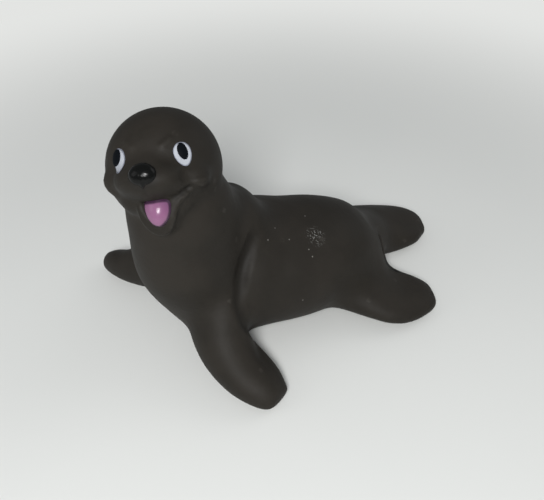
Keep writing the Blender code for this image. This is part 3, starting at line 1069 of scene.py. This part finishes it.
@dataclass
class Effects:
    """Effects that more than one finish may use, each a shader node group built once."""

    spot: Tree = field(init=False)
    grain: Tree = field(init=False)
    dust: Tree = field(init=False)
    wear_and_shade: Tree = field(init=False)

    def __post_init__(self) -> None:
        """Build the groups."""
        self.spot = self.build_spot()
        self.grain = self.build_grain()
        self.dust = self.build_dust()
        self.wear_and_shade = self.build_wear_and_shade()

    def build_spot(self) -> Tree:
        """Build a soft round mask about a point, with a ragged edge.

        Returns:
            The group: Position, Centre, Radius, Softness and Raggedness in, Mask out.
        """
        nodes, given = new_group(
            "soft_spot", ("Position", "Centre"), ("Radius", "Softness", "Raggedness"), ("Mask",))
        ends = {0: given["Position"], 1: given["Centre"]}
        gap = nodes.add("ShaderNodeVectorMath", ends, operation="DISTANCE").outputs["Value"]
        uneven = nodes.math("SUBTRACT", nodes.noise(given["Position"], scale=420.0), 0.5)
        ragged = nodes.times(nodes.times(uneven, given["Raggedness"]), given["Radius"])
        inner = nodes.math("SUBTRACT", given["Radius"], given["Softness"])
        outer = nodes.math("ADD", given["Radius"], given["Softness"])
        mask = nodes.ramp(nodes.math("ADD", gap, ragged), inner, outer, start=1.0, end=0.0)
        nodes.add("NodeGroupOutput", {"Mask": mask})
        return nodes.tree

    def build_grain(self) -> Tree:
        """Build the fine grain of moulded vinyl.

        Returns:
            The group: Position and Scale in, Height and Mottle out.
        """
        nodes, given = new_group("moulded_grain", ("Position",), ("Scale",), ("Height", "Mottle"))
        ends = {0: given["Position"], 3: given["Scale"]}
        place = nodes.add("ShaderNodeVectorMath", ends, operation="SCALE").outputs[0]
        fine = nodes.noise(place, scale=2600.0, detail=2.0, roughness=0.6)
        coarse = nodes.noise(place, scale=700.0)
        height = nodes.math("ADD", nodes.times(fine, 0.55), nodes.times(coarse, 0.45))
        broad = nodes.noise(place, scale=55.0, detail=4.0, roughness=0.55)
        nodes.add("NodeGroupOutput", {"Height": height, "Mottle": nodes.ramp(broad, low=0.36, high=0.66)})
        return nodes.tree

    def build_dust(self) -> Tree:
        """Build scattered pale specks of dust.

        Returns:
            The group: Position, Scale and Amount in, Mask out.
        """
        nodes, given = new_group("dust_specks", ("Position",), ("Scale", "Amount"), ("Mask",))
        cells = nodes.add("ShaderNodeTexVoronoi", {"Vector": given["Position"], "Scale": given["Scale"]})
        speck = nodes.ramp(cells.outputs["Distance"], low=0.03, high=0.07, start=1.0, end=0.0)
        chance = nodes.add("ShaderNodeSeparateColor", {0: cells.outputs["Color"]}).outputs[0]
        chosen = nodes.math("LESS_THAN", chance, given["Amount"])
        nodes.add("NodeGroupOutput", {"Mask": nodes.times(speck, chosen)})
        return nodes.tree

    def build_wear_and_shade(self) -> Tree:
        """Build a mask of raised edges that are rubbed, broken up by noise, and one of hollows where shade
        is painted.

        Returns:
            The group: Position and Pointiness in, Mask and the hollows' painted shade out.
        """
        nodes, given = new_group("rubbed_edges_and_hollow_shade", ("Position",), ("Pointiness",), ("Mask", "HollowShade"))
        raised = nodes.ramp(given["Pointiness"], low=0.515, high=0.57)
        noise = nodes.noise(given["Position"], scale=520.0, detail=4.0, roughness=0.6)
        broken = nodes.ramp(noise, low=0.35, high=0.65)
        # concave places, to be darkened as painted shade
        hollow_shade = nodes.ramp(given["Pointiness"], low=0.43, high=0.495, start=1.0, end=0.0)
        nodes.add("NodeGroupOutput", {"Mask": nodes.times(raised, broken), "HollowShade": hollow_shade})
        return nodes.tree


def new_finish(name: str) -> tuple[bpy.types.Material, Nodes, bpy.types.Node]:
    """Make a material.

    Args:
        name: The material's name.

    Returns:
        The material, a builder for its nodes and its Principled BSDF.
    """
    material = bpy.data.materials.new(name)
    material.use_nodes = True
    nodes = Nodes(material.node_tree)
    return material, nodes, material.node_tree.nodes["Principled BSDF"]


@dataclass(frozen=True)
class Spot:
    """A soft round mark on the skin, in metres."""

    centre: Place
    radius: float
    softness: float
    ragged: float = 0.6

    def mask(self, nodes: Nodes, effects: Effects, place: Socket, frame_of: Matrix = Matrix()) -> Socket:
        """Add the spot's mask to a material.

        Args:
            nodes: The material's nodes.
            effects: The shared effects.
            place: The position.
            frame_of: The frame in which the spot's centre is given.

        Returns:
            The mask.
        """
        centre = frame_of @ Vector(self.centre)
        return nodes.group(effects.spot, Position=place, Centre=centre, Radius=self.radius,
                           Softness=self.softness, Raggedness=self.ragged)[0]


@dataclass(frozen=True)
class VinylFinish:
    """Dull dark soft vinyl with fine grain, a rubbed spot with painted glints on its scratches, a little
    dust, and painted shade in its creases and hollows.
    """

    dark: Colour = (0.0150, 0.0127, 0.0098, 1)
    light: Colour = (0.0215, 0.0182, 0.0144, 1)
    rubbed: Colour = (0.060, 0.055, 0.048, 1)
    dust: Colour = (0.30, 0.29, 0.27, 1)
    # black overspray drifted round the nose, also used as painted shade in hollows
    overspray_and_hollow_shade: Colour = (0.012, 0.011, 0.010, 1)
    # painted shade for the creases, the slit and the undercut between the flippers
    painted_shade_colour: Colour = (0.0020, 0.0018, 0.0012, 1)
    # painted glints on the scratches of the rubbed spot
    painted_glint: Colour = (0.22, 0.22, 0.21, 1)
    roughness: float = 0.58
    gloss: float = 0.20
    scuff: Spot = Spot((0.0100, -0.0021, 0.0294), 0.0021, 0.0014, 1.2)
    specks: tuple[Place, ...] = (
        (0.0034, -0.0026, 0.0316), (0.0132, -0.0052, 0.0282), (0.0107, -0.0098, 0.0309),
        (0.0147, -0.0047, 0.0268), (0.0080, -0.0128, 0.0335), (0.0113, -0.0159, 0.0328),
        (0.0199, -0.0091, 0.0170), (0.0094, -0.0491, 0.0334))
    speck_radius: float = 0.00016
    dust_scale: float = 230.0
    dust_amount: float = 0.02
    drift_radius: float = 0.0034
    drift_softness: float = 0.0008
    drift_ragged: float = 0.35
    mottle_roughness: float = 0.08
    scratch_shine: float = 0.22

    def build(self, effects: Effects, nose: Vector) -> bpy.types.Material:
        """Build the material.

        Args:
            effects: The shared effects.
            nose: The centre of the nose, where black paint has drifted past its edge.

        Returns:
            The material.
        """
        material, nodes, shader = new_finish("vinyl_skin")
        place = nodes.place()
        grain = nodes.group(effects.grain, Position=place, Scale=1.0)
        pointiness = nodes.add("ShaderNodeNewGeometry").outputs["Pointiness"]
        wear_and_shade = nodes.group(effects.wear_and_shade, Position=place, Pointiness=pointiness)
        dust = nodes.group(effects.dust, Position=place, Scale=self.dust_scale, Amount=self.dust_amount)[0]
        for speck in self.specks:
            spot = Spot(speck, self.speck_radius, self.speck_radius / 2)
            dust = nodes.math("MAXIMUM", dust, spot.mask(nodes, effects, place))
        sparkle = self.sparkle(nodes, effects, place)
        paint = Spot(tuple(nose), self.drift_radius, self.drift_softness, self.drift_ragged)
        drift = paint.mask(nodes, effects, place)

        colour = nodes.mix(grain["Mottle"], self.dark, self.light)
        # rubbed edges, black overspray round the nose and dust are the vinyl's own colour; the hollows and
        # creases get painted shade, and the scratches painted glints
        layers = (
            (wear_and_shade["Mask"], 0.35, self.rubbed), (wear_and_shade["HollowShade"], 0.35, self.overspray_and_hollow_shade),
            (drift, 0.55, self.overspray_and_hollow_shade), (nodes.attribute("painted_shade"), 0.9, self.painted_shade_colour),
            (sparkle, 1.0, self.painted_glint), (dust, 0.55, self.dust))
        for mask, share, over in layers:
            colour = nodes.mix(nodes.times(mask, share), colour, over)

        rough = nodes.math("ADD", nodes.times(grain["Mottle"], self.mottle_roughness), self.roughness)
        soft = nodes.noise(place, scale=160.0)
        waves = nodes.bump(soft, strength=0.35, distance=0.0006)
        fine = nodes.bump(grain["Height"], strength=0.30, distance=0.00012, Normal=waves)
        marks = nodes.bump(sparkle, strength=0.6, distance=0.00012, Normal=fine)
        nodes.fill(shader, {
            "Base Color": colour, "Normal": marks, "Specular IOR Level": self.gloss,
            "Roughness": nodes.math("SUBTRACT", rough, nodes.times(sparkle, self.scratch_shine))})
        return material

    def sparkle(self, nodes: Nodes, effects: Effects, place: Socket) -> Socket:
        """Add the mask of the fine scratches of the rubbed spot, on which pale glints are painted.

        Args:
            nodes: The material's nodes.
            effects: The shared effects.
            place: The position.

        Returns:
            The mask.
        """
        inputs = {"Vector": place, "Scale": 1500.0}
        cells = nodes.add("ShaderNodeTexVoronoi", inputs, feature="DISTANCE_TO_EDGE")
        scratch = nodes.ramp(cells.outputs["Distance"], low=0.04, high=0.14, start=1.0, end=0.0)
        broken = nodes.ramp(nodes.noise(place, scale=1700.0), low=0.50, high=0.60)
        return nodes.times(nodes.times(scratch, broken), self.scuff.mask(nodes, effects, place))


@dataclass(frozen=True)
class PaintFinish:
    """Brushed paint with slight waves in its surface and a darker line at its outline."""

    name: str
    colour: Colour
    rim_colour: Colour
    roughness: float
    gloss: float
    rim_start: float = 0.9
    rim_width: float = 0.1
    rim_strength: float = 0.6

    def build(self, effects: Effects) -> bpy.types.Material:
        """Build the material.

        Args:
            effects: The shared effects.

        Returns:
            The material.
        """
        material, nodes, shader = new_finish(self.name)
        place = nodes.place()
        grain = nodes.group(effects.grain, Position=place, Scale=1.6)
        uneven = nodes.times(nodes.noise(place, scale=2200.0), 0.06)
        rim_end = self.rim_start + self.rim_width
        rim = nodes.math("ADD", nodes.attribute("rim"), uneven)
        edge = nodes.ramp(rim, self.rim_start, rim_end, start=0.0, end=self.rim_strength)
        shade = nodes.mix(nodes.times(grain["Mottle"], 0.12), self.colour, self.rim_colour)
        nodes.fill(shader, {
            "Base Color": nodes.mix(edge, shade, self.rim_colour), "Specular IOR Level": self.gloss,
            "Roughness": nodes.math("ADD", nodes.times(grain["Height"], 0.12), self.roughness),
            "Normal": nodes.bump(grain["Height"], strength=0.15, distance=0.00006)})
        return material


@dataclass(frozen=True)
class TongueFinish:
    """Glossy pink paint, with painted shade that makes it more purple towards one side under the upper lip,
    and dark in the depth of the mouth.
    """

    pink: Colour = (0.235, 0.098, 0.190, 1)
    lip_shade: Colour = (0.135, 0.052, 0.128, 1)
    gap: Colour = (0.035, 0.014, 0.035, 1)
    # where painted shade falls on the tongue under the upper lip
    side: Spot = Spot((0.0050, -0.0130, -0.0062), 0.0026, 0.0018, 0.25)
    roughness: float = 0.18

    def build(self, effects: Effects, head: Matrix) -> bpy.types.Material:
        """Build the material.

        Args:
            effects: The shared effects.
            head: The head's frame.

        Returns:
            The material.
        """
        material, nodes, shader = new_finish("tongue_paint")
        place = nodes.place()
        grain = nodes.group(effects.grain, Position=place, Scale=0.9)
        # painted shade on the side under the upper lip
        lip_shade = nodes.times(self.side.mask(nodes, effects, place, head), 0.55)
        amount = nodes.math("ADD", lip_shade, nodes.times(grain["Mottle"], 0.12))
        shade = nodes.mix(amount, self.pink, self.lip_shade)
        edge = nodes.ramp(nodes.attribute("rim"), low=0.1, high=0.55, start=0.0, end=0.95)
        nodes.fill(shader, {
            "Base Color": nodes.mix(edge, shade, self.gap),
            "Roughness": nodes.math("ADD", nodes.times(grain["Height"], 0.14), self.roughness),
            "Normal": nodes.bump(grain["Height"], strength=0.4, distance=0.00012)})
        return material


@dataclass
class Lamp:
    """One soft square lamp aimed at the seal."""

    name: str
    place: Place
    size: float
    power: float
    aim: Place = (0.0, -0.01, 0.03)

    def build(self) -> None:
        """Build the lamp, which lights the seal and is not seen itself."""
        light = bpy.data.lights.new(self.name, "AREA")
        light.shape = "SQUARE"
        light.size = self.size
        light.energy = self.power
        lamp = bpy.data.objects.new(self.name, light)
        lamp.visible_camera = False
        lamp.location = self.place
        lamp.rotation_euler = (Vector(self.aim) - Vector(self.place)).to_track_quat("-Z", "Y").to_euler()
        bpy.context.scene.collection.objects.link(lamp)


@dataclass
class Studio:
    """The pale floor, the soft lamps, the world and the camera of the photograph.

    Only camera rays see the backdrop's colour, in the world and on the floor away from the seal, so it
    lights nothing. The seal has no metal or glass that could show it.
    """

    floor_radius: float = 3.0
    floor_points: int = 64
    floor_colour: Colour = (0.75, 0.76, 0.74, 1)
    mottle_colour: Colour = (0.5, 0.5, 0.49, 1)
    mottle_share: float = 0.06
    floor_roughness: float = 0.75
    floor_fade: tuple[float, float] = (0.09, 0.26)
    light_colour: tuple[float, float, float] = (0.90, 0.93, 0.95)
    light_strength: float = 0.30
    backdrop_colour: Colour = (0.77, 0.78, 0.765, 1)
    lamps: tuple[Lamp, ...] = (
        Lamp("key_lamp", (0.36, -0.17, 0.34), 0.14, 2.35),
        Lamp("fill_lamp", (0.04, -0.55, 0.30), 0.28, 0.25),
        Lamp("back_lamp", (-0.05, 0.55, 0.40), 0.40, 0.5),
    )
    camera_place: Place = (0.1436, -0.0604, 0.1466)
    camera_aim: Place = (-0.0215, -0.0035, 0.0)
    lens: float = 46.3
    sensor: float = 36.0
    nearest: float = 0.01

    def build(self) -> None:
        """Build the floor, the lamps, the world and the camera."""
        self.build_floor()
        for lamp in self.lamps:
            lamp.build()
        world = bpy.data.worlds.new("studio")
        world.use_nodes = True
        nodes = Nodes(world.node_tree)
        light = (*(self.light_strength * value for value in self.light_colour), 1)
        seen = nodes.add("ShaderNodeLightPath").outputs["Is Camera Ray"]
        colour = nodes.mix(seen, light, self.backdrop_colour)
        nodes.fill(world.node_tree.nodes["Background"], {"Color": colour})
        bpy.context.scene.world = world
        self.build_camera()

    def build_floor(self) -> None:
        """Build the floor, a wide disc that fades to the backdrop's colour away from the seal."""
        mesh = bmesh.new()
        bmesh.ops.create_circle(mesh, cap_ends=True, segments=self.floor_points, radius=self.floor_radius)
        floor = piece_from(mesh, "floor")
        material, nodes, shader = new_finish("pale_floor")
        place = nodes.place()
        mottle = nodes.times(nodes.noise(place, scale=30.0), self.mottle_share)
        nodes.fill(shader, {"Base Color": nodes.mix(mottle, self.floor_colour, self.mottle_colour),
                            "Roughness": self.floor_roughness})
        away = nodes.add("ShaderNodeVectorMath", {0: place}, operation="LENGTH").outputs["Value"]
        seen = nodes.add("ShaderNodeLightPath").outputs["Is Camera Ray"]
        far = nodes.times(nodes.ramp(away, *self.floor_fade), seen)
        paleness = nodes.add("ShaderNodeEmission", {"Color": self.backdrop_colour})
        surface = nodes.add("ShaderNodeMixShader", {0: far, 1: shader.outputs[0], 2: paleness.outputs[0]})
        nodes.fill(nodes.tree.nodes["Material Output"], {"Surface": surface.outputs[0]})
        floor.data.materials.append(material)

    def build_camera(self) -> None:
        """Build the camera at the photograph's viewing angle."""
        data = bpy.data.cameras.new("photo_camera")
        data.lens = self.lens
        data.sensor_width = self.sensor
        data.clip_start = self.nearest
        camera = bpy.data.objects.new("photo_camera", data)
        camera.location = self.camera_place
        aim = Vector(self.camera_aim) - Vector(self.camera_place)
        camera.rotation_euler = aim.to_track_quat("-Z", "Y").to_euler()
        bpy.context.scene.collection.objects.link(camera)
        bpy.context.scene.camera = camera


@dataclass(frozen=True)
class EyePlan:
    """Where one eye sits on the face, in metres, and how it leans, in degrees."""

    x: float
    z: float
    lean: float
    pupil_half_width: float
    pupil_lean: float
    pupil_shift: float


@dataclass
class Seal:
    """The whole toy: the moulded skin with its painted face."""

    body: Body = field(default_factory=Body)
    head: Head = field(default_factory=Head)
    eyes: tuple[tuple[Side, EyePlan], ...] = (
        (Side.RIGHT, EyePlan(0.0065, 0.00225, -5.0, 0.00108, 10.0, -0.00055)),
        (Side.LEFT, EyePlan(0.0074, 0.0027, 16.0, 0.00088, 17.0, -0.0001)))
    pupil_rise: float = 0.0006
    nose_z: float = -0.0009
    paint_height: float = 0.00012
    pupil_layers: int = 3
    nose_dome: float = 0.0006
    vinyl: VinylFinish = VinylFinish()
    white: PaintFinish = PaintFinish("eye_white", (0.43, 0.45, 0.49, 1), (0.06, 0.07, 0.12, 1), 0.40, 0.3)
    black: PaintFinish = PaintFinish(
        "pupil_black", (0.0025, 0.0035, 0.005, 1), (0.005, 0.006, 0.010, 1), 0.50, 0.06)
    glossy: PaintFinish = PaintFinish(
        "nose_black", (0.003, 0.0032, 0.003, 1), (0.004, 0.004, 0.0038, 1), 0.15, 0.17)

    def build(self) -> list[Item]:
        """Build and dress every piece of the seal.

        Returns:
            The pieces.
        """
        effects = Effects()
        skin = Skin(self.body, self.head).build()
        tree = TOOLS.surface(skin)
        nose_centre, _ = self.head.on_face(tree, 0.0, self.nose_z)
        self.dress(skin, self.vinyl.build(effects, nose_centre))
        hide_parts("seal")
        pieces = [skin]

        white = self.white.build(effects)
        black = self.black.build(effects)
        for side, plan in self.eyes:
            name = side.name.lower()
            eye = EyeWhite(f"eye_white_{name}", self.head, side.value * plan.x, plan.z,
                           self.paint_height, self.paint_height, side=side, lean=plan.lean)
            pieces.append(self.dress(eye.build(tree), white))
            pupil = Pupil(f"pupil_{name}", self.head, side.value * plan.x + plan.pupil_shift,
                          plan.z + self.pupil_rise, self.pupil_layers * self.paint_height,
                          self.paint_height, side=side, half_width=plan.pupil_half_width,
                          lean=plan.pupil_lean)
            pieces.append(self.dress(pupil.build(tree), black))
        nose = Nose("nose", self.head, 0.0, self.nose_z, self.paint_height, self.nose_dome)
        pieces.append(self.dress(nose.build(tree), self.glossy.build(effects)))
        tongue = Tongue(self.head).build(tree)
        pieces.append(self.dress(tongue, TongueFinish().build(effects, self.head.matrix())))
        return pieces

    def dress(self, piece: Item, material: bpy.types.Material) -> Item:
        """Give a piece its material and its body.

        Args:
            piece: The piece.
            material: Its material.

        Returns:
            The piece.
        """
        piece.data.materials.clear()
        piece.data.materials.append(material)
        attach(piece, "root")
        return piece


def main() -> None:
    """Build the seal and the studio, and report each piece."""
    logging.basicConfig(level=logging.INFO, format="%(name)s: %(message)s")
    scene = bpy.context.scene
    scene.view_settings.view_transform = "Standard"
    Studio().build()
    for piece in Seal().build():
        LOG.info("%s: %d faces", piece.name, len(piece.data.polygons))
    bpy.context.view_layer.update()


if __name__ == "__main__":
    main()
